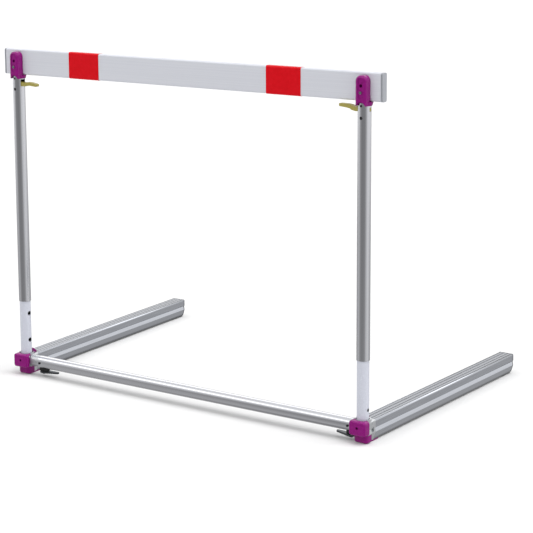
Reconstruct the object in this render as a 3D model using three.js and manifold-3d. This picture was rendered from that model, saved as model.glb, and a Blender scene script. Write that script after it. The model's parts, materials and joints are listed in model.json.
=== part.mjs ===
// Training hurdle: a board on two telescopic uprights, squeeze levers that free the height lock, and
// two hollow feet with a counterweight inside each. Millimetres, X along the board, Y to the rear, Z up.
import * as THREE from "three";
import { mergeVertices } from "three/addons/utils/BufferGeometryUtils.js";
import Module from "manifold-3d";

const wasm = await Module();
wasm.setup();

// Fits
const gap = 0.3;
const slidingGap = 0.5;
const boreGap = 0.6;
const overshoot = 2;

// Whole hurdle
const hurdleHeight = 914;
const boardOverhang = 50;
const heightStep = 76.2;
const stepsEachWay = 2;
const lockPinHeight = 250.4;

// Board, its end caps and red bands
const boardLength = 1200;
const boardHeight = 70;
const boardThickness = 19;
const boardEdgeRadius = 4.7;
const boardWall = 2.4;
const boardWebInset = 22;
const boardWebThickness = 7;
const endCapFlange = 5.8;
const endCapRounding = 1.2;
const endCapPlugLength = 18;
const bandInnerReach = 267;
const bandOuterReach = 369;
const bandFilm = 0.4;

// Bracket between board and upright
const bracketWidth = 32;
const bracketDepth = 20.2;
const bracketFrontRadius = 6.6;
const bracketCrownDrop = 6.5;
const bracketCrownRadius = 14;
const bracketHoleDrop = 31.4;
const bracketHoleRadius = 4.25;
const bracketHoleDepth = 12;
const bracketScrewDrop = 48;
const panelWidth = 14.5;
const panelTopDrop = 12;
const panelBottomDrop = 62;
const panelDepth = 1.4;
const collarHeight = 9.6;
const collarRoof = 2.4;
const collarTopRadius = 21.8;
const collarBottomRadius = 18.8;
const collarBoreGap = 0.3;
const collarArchRadius = 13.5;
const collarArchDrop = 4.5;
const tangWidth = 14;
const tangThickness = 2;
const tangDrop = 5;

// Bracket screw and housing rivet
const bracketScrewHeadRadius = 3.4;
const bracketScrewHeadHeight = 2.4;
const bracketScrewRadius = 2;
const bracketScrewBite = 12;
const screwSocketRadius = 1.7;
const screwSocketDepth = 1.5;
const rivetDrop = 6.8;
const rivetRadius = 2.2;
const rivetHeadHeight = 1;
const rivetFrontHeadRadius = 2.8;
const rivetRearHeadRadius = 4;
const rivetCoreRadius = 1.4;
const rivetCoreDepth = 6;

// Outer tube
const outerTubeRadius = 16.8;
const outerTubeWall = 1.2;
const outerTubeLength = 632;
const accessHoleDrop = 36;
const accessHoleRadius = 4;
const slotTopDrop = 9;

// Squeeze lever, in its own frame with the origin on the fulcrum
const fulcrumReach = 16;
const fulcrumDrop = 15.7;
const leverWidth = 16.6;
const leverTop = 3.8;
const leverBottom = 5.4;
const leverBodySetback = 6;
const tongueReach = 0.4;
const tongueHeight = 8;
const tongueWidth = 7;
const crankTopStart = 32;
const crankTopEnd = 60;
const crankTopHeight = 10.2;
const crankBottomStart = 38;
const crankBottomEnd = 62;
const crankBottomHeight = 1.6;
const leverReach = 85.5;
const leverTipHeight = 7;
const leverTipRadius = 3.6;
const leverTipWidth = 14;
const leverTipCorner = 5;
const pocketLength = 7.6;
const pocketShift = 0.4;
const pocketFloorDrop = 1;
const lockedAngle = THREE.MathUtils.degToRad(-10);
const squeezedAngle = THREE.MathUtils.degToRad(0);

// Lever housing
const housingLength = 41.7;
const housingCeiling = 5.3;
const housingFloor = 12;
const housingSocketDepth = 7;

// Pull rod, spring, carrier and lock pin
const rodRadius = 2.5;
const crossPinLength = 10;
const springCollarRadius = 5.5;
const springCollarHeight = 4;
const springLength = 36;
const springRadius = 4.4;
const springWireRadius = 0.6;
const springTurns = 7;
const camThickness = 3;
const camHalfWidth = 2.6;
const camReach = 8.6;
const camHeadBottom = 5;
const camHeadTop = 10;
const camTailDrop = 6.5;
const camShoulder = 6;
const rodOverlap = 1;
const carrierRadius = 8;
const carrierWall = 1.8;
const carrierBlockDrop = 7.5;
const carrierBlockRise = 19.6;
const channelRise = 14;
const channelReach = 9.7;
const lockPinRadius = 4;
const lockPinTail = 9;
const lockPinChamfer = 1;
const lockPinNoseGap = 0.4;

// Inner tube, its plug and rivet
const innerTubeWall = 2;
const innerTubeTop = 480;
const lockHoleRadius = 4.5;
const plugLength = 18.3;
const plugLipHeight = 2.7;
const uprightRivetHeight = 84;
const uprightRivetHeadRadius = 3.7;
const uprightRivetHeadHeight = 2;
const uprightRivetRadius = 2;
const uprightRivetSunk = 5;
const uprightRivetBite = 6;

// Foot profile
const toeOut = THREE.MathUtils.degToRad(1.9);
const footFront = 24.3;
const footRear = 741;
const footBottom = 3.5;
const footTop = 55.5;
const footBottomHalf = 15.5;
const footHalf = 21.9;
const footBulgeHeight = 24;
const footWaistHalf = 19.9;
const footWaistHeight = 34.5;
const footShoulderHeight = 36.5;
const footTopRadius = 3.5;
const grooveWidth = 1.5;
const grooveDepth = 0.8;
const grooveInnerPlace = 6;
const grooveOuterPlace = 16.6;
const cavityBottom = 6.5;
const cavityTop = 51.5;
const cavityBottomHalf = 13.3;
const cavityBulgeHalf = 18.7;
const cavityHalf = 16.9;
const cavityNeckHeight = 31;
const weightSlotWidth = 9.5;
const weightSlotFront = 200;
const weightSlotRear = 610;
const weightStopRadius = 7;

// Counterweight and its stud
const weightPlace = 405;
const weightLength = 190;
const weightClearance = 0.6;
const studRadius = 4.5;
const studShankRadius = 2.4;
const studShankLength = 11;
const studGroundGap = 0.8;

// Corner casting
const castingNose = 18;
const castingRear = 24;
const castingInsertRear = 70;
const skirtTop = 22;
const skirtRear = 8;
const coreHalf = 17.4;
const coreNose = 9;
const socketFloor = 28;
const postRise = 5.6;
const rimRadius = 21.4;
const rimHeight = 5;
const rimRoot = 4;
const bossRadius = 16.5;
const bossFace = 25.7;
const bossRoot = 18;
const spigotRadius = 14.5;
const spigotReach = 110;
const crossTubeHeight = 40.5;

// Front cap, its screw, wedge and side screw
const capHalf = 24.5;
const capFront = 28;
const capRear = 8;
const capInnerRear = 17;
const capTop = 59;
const capFloor = 2.7;
const capCorner = 6.5;
const capFrontRadius = 5;
const scallopRadius = 17.6;
const skirtHalf = 20.8;
const skirtFront = 13;
const skirtCorner = 10;
const skirtToeRadius = 6;
const soleThickness = 3.2;
const soleRear = 46;
const soleHalf = 15;
const capScrewHeight = 42;
const capScrewHeadRadius = 2.95;
const capScrewHeadHeight = 2.4;
const capScrewRadius = 2;
const capScrewSunk = 3.3;
const capScrewTip = 7;
const wedgeFront = 17.4;
const wedgeRear = 33;
const wedgeHeight = 12.5;
const wedgeToe = 1.6;
const wedgeCrest = 2.6;
const wedgeWidth = 9;
const wedgeInboard = 5;
const wedgePegPlace = 20.5;
const wedgePegRadius = 1.6;
const wedgePegDepth = 5;
const sideScrewPlace = 13;
const sideScrewHeight = 32;
const sideScrewHeadRadius = 5.75;
const sideScrewHeadHeight = 3;
const sideScrewFace = 20.2;
const sideScrewRadius = 2.6;
const sideScrewTip = 12.4;

// Rear plug
const rearPlate = 3;
const rearInsert = 12;
const runnerHalf = 12;
const runnerFront = 690;
const runnerRamp = 8;

// Cross tube, spacer, screws and clamps
const crossTubeRadius = 16.85;
const crossTubeWall = 2;
const tubeEndInset = 8;
const spacerLength = 27.7;
const tubeScrewRadius = 2;
const tubeScrewHeadRadius = 3.2;
const tubeScrewHeadHeight = 1.6;
const tubeScrewTip = 6;
const spacerStep = 4;
const spacerStepDepth = 1;
const clampBlockLength = 22;
const clampBlockFront = 4;
const clampBlockRear = 14;
const clampBlockHeight = 8.05;
const clampLeverThickness = 5;
const clampLeverGap = 0.3;
const clampHubRadius = 11;
const clampTipRadius = 4;
const clampLeverLength = 43;
const clampLeverDrift = 8;
const clampBoltPlace = 2;
const clampBoltRadius = 2.8;
const clampBoltHeadRadius = 5;
const clampBoltHeadHeight = 3;
const clampBoltTop = 33;

// Round shapes
const fineSides = 32;
const coarseSides = 12;
const fineRadius = 9;
const arcSteps = 3;
const edgeSteps = 2;
const wideRounding = 3;
const springStepsPerTurn = 10;
const springWireSteps = 3;
const hexSides = 6;
const weldDistance = 1e-4;

// Colours, roughness and metalness
const finishes = {
  boardWhite: [0xd9dbe2, 0.42, 0],
  capGrey: [0xb4b7bc, 0.5, 0],
  bandRed: [0xc81420, 0.4, 0],
  purple: [0x86166f, 0.35, 0],
  satinTube: [0xb6b9c0, 0.32, 0.85],
  whiteTube: [0xe4e6e8, 0.35, 0.1],
  mustard: [0xa69a4a, 0.5, 0],
  black: [0x17171a, 0.55, 0],
  zinc: [0xa6abae, 0.4, 0.8],
  castAluminium: [0xd2d4d6, 0.38, 0.75],
  footAluminium: [0xbfc2c7, 0.38, 0.8],
  darkPlastic: [0x424449, 0.6, 0],
  castIron: [0x3b3c3e, 0.7, 0.5],
  springSteel: [0x8c9094, 0.35, 0.9],
};

// Levels and radii that follow from the sizes above
const uprightReach = boardLength / 2 - boardOverhang;
const boardTop = hurdleHeight;
const boardBottom = boardTop - boardHeight;
const boardFront = gap;
const boardRear = boardFront + boardThickness;
const boardFlangeReach = boardLength / 2 - endCapFlange;
const screwHeight = boardTop - bracketScrewDrop;
const collarTop = boardBottom - gap;
const collarBottom = collarTop - collarHeight;
const collarBore = outerTubeRadius + collarBoreGap;
const tubeTop = collarTop - collarRoof - gap;
const tubeBottom = tubeTop - outerTubeLength;
const outerTubeBore = outerTubeRadius - outerTubeWall;
const rivetHeight = tubeTop - rivetDrop;
const fulcrumHeight = tubeTop - fulcrumDrop;
const slotHalf = leverWidth / 2 + slidingGap;
const slotFloor = fulcrumHeight - housingFloor;
const innerTubeRadius = outerTubeBore - gap;
const innerTubeBore = innerTubeRadius - innerTubeWall;
const innerTubeBottom = socketFloor + gap;
const housingTop = tubeTop - gap;
const housingBottom = housingTop - housingLength;
const springSeat = housingBottom + housingSocketDepth;
const springTop = springSeat - gap;
const springCollarTop = springSeat - springLength;
const carrierTop = springSeat - gap;
const carrierBore = carrierRadius - carrierWall;
const postRadius = innerTubeBore - gap;
const postTop = uprightRivetHeight + postRise;
const socketRadius = innerTubeRadius + gap;
const crossPinSeat = rodRadius - pocketFloorDrop + gap / 2;
const lockedRodHeight = fulcrumHeight + crossPinRise(lockedAngle);
const crossTubeShift = (spacerLength + gap) / 2;
const tubeEndReach = uprightReach - bossFace - gap - crossTubeShift;
const clampReach = tubeEndReach - tubeEndInset;
const clampBlockTop = crossTubeHeight - crossTubeRadius - gap;
const clampBlockBottom = clampBlockTop - clampBlockHeight;
const clampLeverTop = clampBlockBottom - clampLeverGap;
const clampLeverBottom = clampLeverTop - clampLeverThickness;
const wedgeOuterSide = wedgeWidth / 2 - wedgeInboard;
const wedgeInnerSide = wedgeOuterSide - wedgeWidth;
const rearPlateFront = footRear + gap;
const rearPlateEnd = rearPlateFront + rearPlate;

// Height of the rod's cross pin above the fulcrum when the lever stands at an angle.
function crossPinRise(angle) {
  return (crossPinSeat + fulcrumReach * Math.sin(angle)) / Math.cos(angle);
}

// A closed geometry as a solid that can be cut and joined.
function solidOf(geometry) {
  const bare = geometry.clone();
  bare.deleteAttribute("normal");
  bare.deleteAttribute("uv");
  const merged = mergeVertices(bare, weldDistance);
  return new wasm.Manifold(
    new wasm.Mesh({
      numProp: 3,
      vertProperties: merged.attributes.position.array,
      triVerts: new Uint32Array(merged.index.array),
    }),
  );
}

// A solid back as a geometry with flat faces.
function geometryOf(solid) {
  const mesh = solid.getMesh();
  const geometry = new THREE.BufferGeometry();
  geometry.setAttribute("position", new THREE.BufferAttribute(mesh.vertProperties, 3));
  geometry.setIndex(new THREE.BufferAttribute(mesh.triVerts, 1));
  return geometry;
}

function cut(body, ...tools) {
  return geometryOf(tools.reduce((left, tool) => left.subtract(solidOf(tool)), solidOf(body)));
}

function join(body, ...others) {
  return geometryOf(others.reduce((whole, other) => whole.add(solidOf(other)), solidOf(body)));
}

function common(body, other) {
  return geometryOf(solidOf(body).intersect(solidOf(other)));
}

// Where a shape's own X, its own Y and its depth point for each direction of extrusion.
const extrusionAxes = {
  x: [new THREE.Vector3(0, 1, 0), new THREE.Vector3(0, 0, 1), new THREE.Vector3(1, 0, 0)],
  y: [new THREE.Vector3(1, 0, 0), new THREE.Vector3(0, 0, 1), new THREE.Vector3(0, -1, 0)],
  z: [new THREE.Vector3(1, 0, 0), new THREE.Vector3(0, 1, 0), new THREE.Vector3(0, 0, 1)],
};

// A shape pulled along an axis from one place to another, with the edges of both ends rounded.
function extruded(axis, shape, from, to, rounding = 0) {
  const options = {
    depth: to - from - 2 * rounding,
    bevelEnabled: rounding > 0,
    bevelThickness: rounding,
    bevelSize: rounding,
    bevelOffset: -rounding,
    bevelSegments: rounding > wideRounding ? arcSteps : edgeSteps,
    curveSegments: arcSteps,
  };
  const geometry = new THREE.ExtrudeGeometry(shape, options);
  geometry.translate(0, 0, rounding);
  geometry.applyMatrix4(new THREE.Matrix4().makeBasis(...extrusionAxes[axis]));
  const start = axis === "y" ? to : from;
  geometry.translate(axis === "x" ? start : 0, axis === "y" ? start : 0, axis === "z" ? start : 0);
  return geometry;
}

// A block between two corners.
function block(left, right, front, rear, bottom, top) {
  const geometry = new THREE.BoxGeometry(right - left, rear - front, top - bottom);
  return geometry.translate((left + right) / 2, (front + rear) / 2, (bottom + top) / 2);
}

// A round bar along an axis. The place gives its other two coordinates in the order X, Y, Z.
function round(axis, radius, from, to, place = [0, 0], sides = 0, endRadius = radius) {
  const usual = radius < fineRadius ? coarseSides : fineSides;
  const geometry = new THREE.CylinderGeometry(endRadius, radius, to - from, sides || usual);
  geometry.translate(0, (from + to) / 2, 0);
  if (axis === "x") {
    geometry.rotateZ(-Math.PI / 2);
    geometry.translate(0, place[0], place[1]);
  }
  if (axis === "y") geometry.translate(place[0], 0, place[1]);
  if (axis === "z") {
    geometry.rotateX(Math.PI / 2);
    geometry.translate(place[0], place[1], 0);
  }
  return geometry;
}

// A round tube along an axis.
function tube(axis, radius, bore, from, to, place = [0, 0]) {
  const inside = round(axis, bore, from - overshoot, to + overshoot, place);
  return cut(round(axis, radius, from, to, place), inside);
}

// A rectangle with round corners, as an outline.
function roundedRectangle(left, right, bottom, top, radius) {
  const outline = new THREE.Shape();
  outline.absarc(right - radius, bottom + radius, radius, -Math.PI / 2, 0);
  outline.absarc(right - radius, top - radius, radius, 0, Math.PI / 2);
  outline.absarc(left + radius, top - radius, radius, Math.PI / 2, Math.PI);
  outline.absarc(left + radius, bottom + radius, radius, Math.PI, (3 * Math.PI) / 2);
  outline.closePath();
  return outline;
}

// A closed outline through points.
function polygon(points) {
  return new THREE.Shape(points.map(([across, up]) => new THREE.Vector2(across, up)));
}

// A named mesh with a material of its own, added to a group.
function add(group, name, geometry, finish) {
  const [color, roughness, metalness] = finishes[finish];
  const faceted = geometry.index ? geometry.toNonIndexed() : geometry;
  faceted.computeVertexNormals();
  const mesh = new THREE.Mesh(
    faceted,
    new THREE.MeshStandardMaterial({ color, roughness, metalness }),
  );
  mesh.name = name;
  group.add(mesh);
  return mesh;
}

// Outline of the board's section, grown on all sides by a margin.
function boardOutline(margin) {
  return roundedRectangle(
    boardFront - margin,
    boardRear + margin,
    boardBottom - margin,
    boardTop + margin,
    boardEdgeRadius + margin,
  );
}

// The three chambers of the board's section between its webs, shrunk by a margin.
function boardChambers(margin) {
  const webs = [boardBottom + boardWebInset, boardTop - boardWebInset];
  const floors = [boardBottom + boardWall, ...webs.map((web) => web + boardWebThickness / 2)];
  const ceilings = [...webs.map((web) => web - boardWebThickness / 2), boardTop - boardWall];
  const front = boardFront + boardWall + margin;
  const rear = boardRear - boardWall - margin;
  return floors.map((floor, index) =>
    polygon([
      [front, floor + margin],
      [rear, floor + margin],
      [rear, ceilings[index] - margin],
      [front, ceilings[index] - margin],
    ]),
  );
}

function topBar() {
  const outline = boardOutline(0);
  outline.holes.push(...boardChambers(0));
  const reach = boardFlangeReach - gap;
  const screwHoles = [-uprightReach, uprightReach].map((place) =>
    round(
      "y",
      bracketScrewRadius + gap,
      boardFront - overshoot,
      boardFront + bracketScrewBite + gap,
      [place, screwHeight],
    ),
  );
  return cut(extruded("x", outline, -reach, reach), ...screwHoles);
}

function barEndCap() {
  const flange = extruded(
    "x",
    boardOutline(0),
    boardFlangeReach,
    boardLength / 2,
    endCapRounding,
  );
  const plugs = boardChambers(gap).map((chamber) =>
    extruded("x", chamber, boardFlangeReach - endCapPlugLength, boardFlangeReach + endCapFlange / 2),
  );
  return join(flange, ...plugs);
}

function redBand() {
  const outline = boardOutline(gap + bandFilm);
  outline.holes.push(boardOutline(gap));
  return extruded("x", outline, bandInnerReach, bandOuterReach);
}

function barBracket() {
  const half = bracketWidth / 2;
  const crown = boardTop - bracketCrownDrop;
  const crownMiddle = half - bracketCrownRadius;
  const footEnd = collarBottom - bracketFrontRadius - overshoot;
  const front = new THREE.Shape();
  front.moveTo(-half, footEnd);
  front.lineTo(half, footEnd);
  front.absarc(crownMiddle, crown - bracketCrownRadius, bracketCrownRadius, 0, Math.PI / 2);
  front.absarc(-crownMiddle, crown - bracketCrownRadius, bracketCrownRadius, Math.PI / 2, Math.PI);
  front.closePath();
  const pod = common(
    extruded("y", front, -bracketDepth, bracketDepth, bracketFrontRadius),
    block(-half - overshoot, half + overshoot, -bracketDepth - overshoot, 0, collarBottom, boardTop),
  );
  const collar = round("z", collarBottomRadius, collarBottom, collarTop, [0, 0], 0, collarTopRadius);
  const tang = common(
    round("z", collarBore + tangThickness, collarBottom - tangDrop, collarTop),
    block(-tangWidth / 2, tangWidth / 2, 0, collarTopRadius, collarBottom - tangDrop, collarTop),
  );
  const bore = round("z", collarBore, collarBottom - tangDrop - overshoot, collarTop - collarRoof);
  const arch = round("y", collarArchRadius, -collarTopRadius - overshoot, 0, [
    0,
    collarBottom - collarArchDrop,
  ]);
  const panel = roundedRectangle(
    -panelWidth / 2,
    panelWidth / 2,
    boardTop - panelBottomDrop,
    boardTop - panelTopDrop,
    panelWidth / 2 - gap,
  );
  const panelRecess = extruded("y", panel, -bracketDepth - overshoot, panelDepth - bracketDepth);
  const holeHeight = boardTop - bracketHoleDrop;
  const blindHole = round(
    "y",
    bracketHoleRadius,
    -bracketDepth - overshoot,
    bracketHoleDepth - bracketDepth,
    [0, holeHeight],
  );
  const screwHole = round("y", bracketScrewRadius + gap, -bracketDepth - overshoot, overshoot, [
    0,
    screwHeight,
  ]);
  const rivetHole = round("y", rivetRadius + gap, 0, collarTopRadius + overshoot, [0, rivetHeight]);
  const rivetSeat = round(
    "y",
    rivetRearHeadRadius + boreGap,
    collarBore + tangThickness,
    collarTopRadius + overshoot,
    [0, rivetHeight],
  );
  const body = join(pod, collar, tang);
  return cut(body, bore, arch, panelRecess, blindHole, screwHole, rivetHole, rivetSeat);
}

// A screw along Y with a round head that faces the front and a socket in it.
function frontScrew(headRadius, headHeight, radius, face, tip, height, place = 0) {
  const head = round("y", headRadius, face, face + headHeight, [place, height]);
  const shank = round("y", radius, face + headHeight / 2, tip, [place, height]);
  const socket = round(
    "y",
    screwSocketRadius,
    face - overshoot,
    face + screwSocketDepth,
    [place, height],
    hexSides,
  );
  return cut(join(head, shank), socket);
}

function bracketScrew() {
  const face = panelDepth - bracketDepth - gap - bracketScrewHeadHeight;
  return frontScrew(
    bracketScrewHeadRadius,
    bracketScrewHeadHeight,
    bracketScrewRadius,
    face,
    boardFront + bracketScrewBite,
    screwHeight,
  );
}

function outerTube() {
  const outside = outerTubeRadius + overshoot;
  const body = tube("z", outerTubeRadius, outerTubeBore, tubeBottom, tubeTop);
  const slot = block(-outside, 0, -slotHalf, slotHalf, slotFloor, tubeTop - slotTopDrop);
  const openingHalf = tongueWidth / 2 + slidingGap;
  const openingRise = tongueHeight / 2 + slidingGap;
  const opening = block(
    0,
    outside,
    -openingHalf,
    openingHalf,
    fulcrumHeight - openingRise,
    fulcrumHeight + openingRise,
  );
  const rivetFront = round("y", rivetFrontHeadRadius + gap, -outside, 0, [0, rivetHeight]);
  const rivetRear = round("y", rivetRadius + gap, 0, outside, [0, rivetHeight]);
  const access = round("y", accessHoleRadius, -outside, 0, [0, tubeTop - accessHoleDrop]);
  return cut(body, slot, opening, rivetFront, rivetRear, access);
}

function leverHousing() {
  const radius = outerTubeBore - gap;
  const body = round("z", radius, housingBottom, housingTop);
  const slot = block(
    -outerTubeRadius,
    outerTubeRadius,
    -slotHalf,
    slotHalf,
    slotFloor,
    fulcrumHeight + housingCeiling,
  );
  const rodBore = round("z", rodRadius + boreGap, housingBottom, slotFloor + overshoot);
  const socket = round("z", carrierRadius + gap, housingBottom - overshoot, springSeat);
  const rivetBore = round("y", rivetRadius + gap, -outerTubeRadius, outerTubeRadius, [0, rivetHeight]);
  return cut(body, slot, rodBore, socket, rivetBore);
}

function housingRivet() {
  const frontFace = -outerTubeBore - rivetHeadHeight;
  const rearFace = collarBore + tangThickness + boreGap;
  const place = [0, rivetHeight];
  const shank = round("y", rivetRadius, frontFace, rearFace + rivetHeadHeight / 2, place);
  const frontHead = round("y", rivetFrontHeadRadius, frontFace, -outerTubeBore, place);
  const rearHead = round("y", rivetRearHeadRadius, rearFace, rearFace + rivetHeadHeight, place);
  const core = round("y", rivetCoreRadius, frontFace - overshoot, frontFace + rivetCoreDepth, place);
  return cut(join(shank, frontHead, rearHead), core);
}

function releaseLever() {
  const side = new THREE.Shape();
  const tipMiddle = leverTipRadius - leverReach;
  side.moveTo(-leverBodySetback, -leverBottom);
  side.lineTo(-leverBodySetback, leverTop);
  side.lineTo(-crankTopStart, leverTop);
  const topMiddle = (crankTopStart + crankTopEnd) / 2;
  side.bezierCurveTo(-topMiddle, leverTop, -topMiddle, crankTopHeight, -crankTopEnd, crankTopHeight);
  side.absarc(tipMiddle, leverTipHeight, leverTipRadius, Math.PI / 2, (3 * Math.PI) / 2);
  side.lineTo(-crankBottomEnd, crankBottomHeight);
  const bottomMiddle = (crankBottomStart + crankBottomEnd) / 2;
  side.bezierCurveTo(
    -bottomMiddle,
    crankBottomHeight,
    -bottomMiddle,
    -leverBottom,
    -crankBottomStart,
    -leverBottom,
  );
  side.closePath();
  const half = leverWidth / 2;
  const tipHalf = leverTipWidth / 2;
  const cornerPlace = leverTipCorner - leverReach;
  const plan = new THREE.Shape();
  plan.moveTo(-leverBodySetback, -half);
  plan.lineTo(-leverBodySetback, half);
  plan.lineTo(-crankTopStart, half);
  plan.absarc(cornerPlace, tipHalf - leverTipCorner, leverTipCorner, Math.PI / 2, Math.PI);
  plan.absarc(cornerPlace, leverTipCorner - tipHalf, leverTipCorner, Math.PI, (3 * Math.PI) / 2);
  plan.lineTo(-crankTopStart, -half);
  plan.closePath();
  const body = common(
    extruded("y", side, -half - overshoot, half + overshoot),
    extruded("z", plan, -leverReach, leverReach),
  );
  const tongue = block(
    -leverBodySetback - overshoot,
    tongueReach,
    -tongueWidth / 2,
    tongueWidth / 2,
    -tongueHeight / 2,
    leverTop,
  );
  const pocketRear = pocketLength / 2 - pocketShift - fulcrumReach;
  const pocketHalf = crossPinLength / 2 + slidingGap;
  const pocket = block(
    pocketRear - pocketLength,
    pocketRear,
    -pocketHalf,
    pocketHalf,
    -pocketFloorDrop,
    leverTop + overshoot,
  );
  const rodHole = block(
    pocketRear - pocketLength,
    pocketRear,
    -rodRadius - slidingGap,
    rodRadius + slidingGap,
    -leverBottom - overshoot,
    leverTop + overshoot,
  );
  return cut(join(body, tongue), pocket, rodHole);
}

function pullRod() {
  const shank = round("z", rodRadius, lockPinHeight + camHeadTop - rodOverlap, lockedRodHeight);
  const crossPin = round("y", rodRadius, -crossPinLength / 2, crossPinLength / 2, [0, lockedRodHeight]);
  const collar = round("z", springCollarRadius, springCollarTop - springCollarHeight, springCollarTop);
  const cam = polygon([
    [-camReach, lockPinHeight + camHeadTop],
    [-camReach, lockPinHeight + camShoulder],
    [camTailDrop - camHalfWidth, lockPinHeight - camTailDrop],
    [camTailDrop + camHalfWidth, lockPinHeight - camTailDrop],
    [camHalfWidth - camHeadBottom, lockPinHeight + camHeadBottom],
    [rodRadius, lockPinHeight + camHeadBottom],
    [rodRadius, lockPinHeight + camHeadTop],
  ]);
  const plate = extruded("y", cam, -camThickness / 2, camThickness / 2);
  return join(shank, crossPin, collar, plate);
}

function lockCarrier() {
  const blockTop = lockPinHeight + carrierBlockRise;
  const stem = round("z", carrierRadius, blockTop - overshoot, carrierTop);
  const blockBody = round("z", innerTubeBore - gap, lockPinHeight - carrierBlockDrop, blockTop);
  const boreBottom = lockPinHeight + camHeadTop - rodOverlap - boreGap;
  const bore = round("z", carrierBore, boreBottom, carrierTop + overshoot);
  const channel = block(
    -channelReach,
    channelReach,
    -camThickness / 2 - gap,
    camThickness / 2 + gap,
    lockPinHeight - carrierBlockDrop - overshoot,
    lockPinHeight + channelRise,
  );
  const pinBore = round("x", lockPinRadius + gap, -innerTubeRadius, innerTubeRadius, [0, lockPinHeight]);
  return cut(join(stem, blockBody), bore, channel, pinBore);
}

function lockPin() {
  const nose = lockPinNoseGap - innerTubeBore;
  const axis = [0, lockPinHeight];
  const shank = round("x", lockPinRadius, nose + lockPinChamfer, lockPinTail, axis);
  const tip = round(
    "x",
    lockPinRadius - lockPinChamfer,
    nose,
    nose + lockPinChamfer,
    axis,
    0,
    lockPinRadius,
  );
  const slotHalfWidth = camHalfWidth + slidingGap;
  const reach = lockPinRadius + gap;
  const slant = polygon([
    [-reach - slotHalfWidth, lockPinHeight + reach],
    [reach - slotHalfWidth, lockPinHeight - reach],
    [reach + slotHalfWidth, lockPinHeight - reach],
    [slotHalfWidth - reach, lockPinHeight + reach],
  ]);
  const slot = extruded("y", slant, -camThickness / 2 - gap, camThickness / 2 + gap);
  return cut(join(shank, tip), slot);
}

// The centre line of a coil that stands upright between two heights.
class Helix extends THREE.Curve {
  constructor(radius, bottom, top, turns) {
    super();
    Object.assign(this, { radius, bottom, top, turns });
  }

  getPoint(share, target = new THREE.Vector3()) {
    const angle = share * this.turns * 2 * Math.PI;
    const height = THREE.MathUtils.lerp(this.bottom, this.top, share);
    return target.set(this.radius * Math.cos(angle), this.radius * Math.sin(angle), height);
  }
}

function returnSpring(rodLift) {
  const wire = new THREE.Shape();
  wire.absarc(0, 0, springWireRadius, 0, 2 * Math.PI);
  const bottom = springCollarTop + rodLift + gap + springWireRadius;
  return new THREE.ExtrudeGeometry(wire, {
    extrudePath: new Helix(springRadius, bottom, springTop - springWireRadius, springTurns),
    steps: springTurns * springStepsPerTurn,
    curveSegments: springWireSteps,
  });
}

function innerTube() {
  const outside = innerTubeRadius + overshoot;
  const body = tube("z", innerTubeRadius, innerTubeBore, innerTubeBottom, innerTubeTop);
  const lockHoles = [];
  for (let step = -stepsEachWay; step <= stepsEachWay; step++) {
    const height = lockPinHeight + step * heightStep;
    lockHoles.push(round("x", lockHoleRadius, -outside, 0, [0, height]));
  }
  const rivetHole = round("x", uprightRivetHeadRadius + boreGap, 0, outside, [0, uprightRivetHeight]);
  const capScrewHole = round("y", capScrewRadius + slidingGap, -outside, 0, [0, capScrewHeight]);
  return cut(body, ...lockHoles, rivetHole, capScrewHole);
}

function tubePlug() {
  const bodyTop = innerTubeTop + gap;
  const bodyBottom = bodyTop - plugLength;
  const body = round("z", innerTubeBore - gap, bodyBottom, bodyTop + plugLipHeight / 2);
  const lip = round("z", innerTubeRadius, bodyTop, bodyTop + plugLipHeight);
  const bore = round(
    "z",
    carrierRadius + gap,
    bodyBottom - overshoot,
    bodyTop + plugLipHeight + overshoot,
  );
  return cut(join(body, lip), bore);
}

// Place of the sunk face that the upright rivet's head rests on.
const uprightRivetFace = postRadius - uprightRivetSunk;

function tubeRivet() {
  const place = [0, uprightRivetHeight];
  const headStart = uprightRivetFace + gap;
  const head = round("x", uprightRivetHeadRadius, headStart, headStart + uprightRivetHeadHeight, place);
  const tip = uprightRivetFace - uprightRivetBite + gap;
  const shank = round("x", uprightRivetRadius, tip, headStart + uprightRivetHeadHeight / 2, place);
  return join(head, shank);
}

// Outline of the foot's section, with the fine grooves of its top face where it is extruded.
function footOutline(grooved) {
  const outline = new THREE.Shape();
  outline.moveTo(-footBottomHalf, footBottom);
  outline.lineTo(footBottomHalf, footBottom);
  outline.lineTo(footHalf, footBulgeHeight);
  outline.lineTo(footWaistHalf, footWaistHeight);
  outline.lineTo(footHalf, footShoulderHeight);
  outline.absarc(footHalf - footTopRadius, footTop - footTopRadius, footTopRadius, 0, Math.PI / 2);
  const places = [grooveOuterPlace, grooveInnerPlace, -grooveInnerPlace, -grooveOuterPlace];
  for (const place of grooved ? places : []) {
    outline.lineTo(place + grooveWidth / 2, footTop);
    outline.lineTo(place + grooveWidth / 2, footTop - grooveDepth);
    outline.lineTo(place - grooveWidth / 2, footTop - grooveDepth);
    outline.lineTo(place - grooveWidth / 2, footTop);
  }
  outline.absarc(footTopRadius - footHalf, footTop - footTopRadius, footTopRadius, Math.PI / 2, Math.PI);
  outline.lineTo(-footHalf, footShoulderHeight);
  outline.lineTo(-footWaistHalf, footWaistHeight);
  outline.lineTo(-footHalf, footBulgeHeight);
  outline.closePath();
  return outline;
}

// Outline of the foot's inside, shrunk by a margin.
function footCavity(margin) {
  return polygon([
    [margin - cavityBottomHalf, cavityBottom + margin],
    [cavityBottomHalf - margin, cavityBottom + margin],
    [cavityBulgeHalf - margin, footBulgeHeight],
    [cavityHalf - margin, cavityNeckHeight],
    [cavityHalf - margin, cavityTop - margin],
    [margin - cavityHalf, cavityTop - margin],
    [margin - cavityHalf, cavityNeckHeight],
    [margin - cavityBulgeHalf, footBulgeHeight],
  ]);
}

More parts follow.
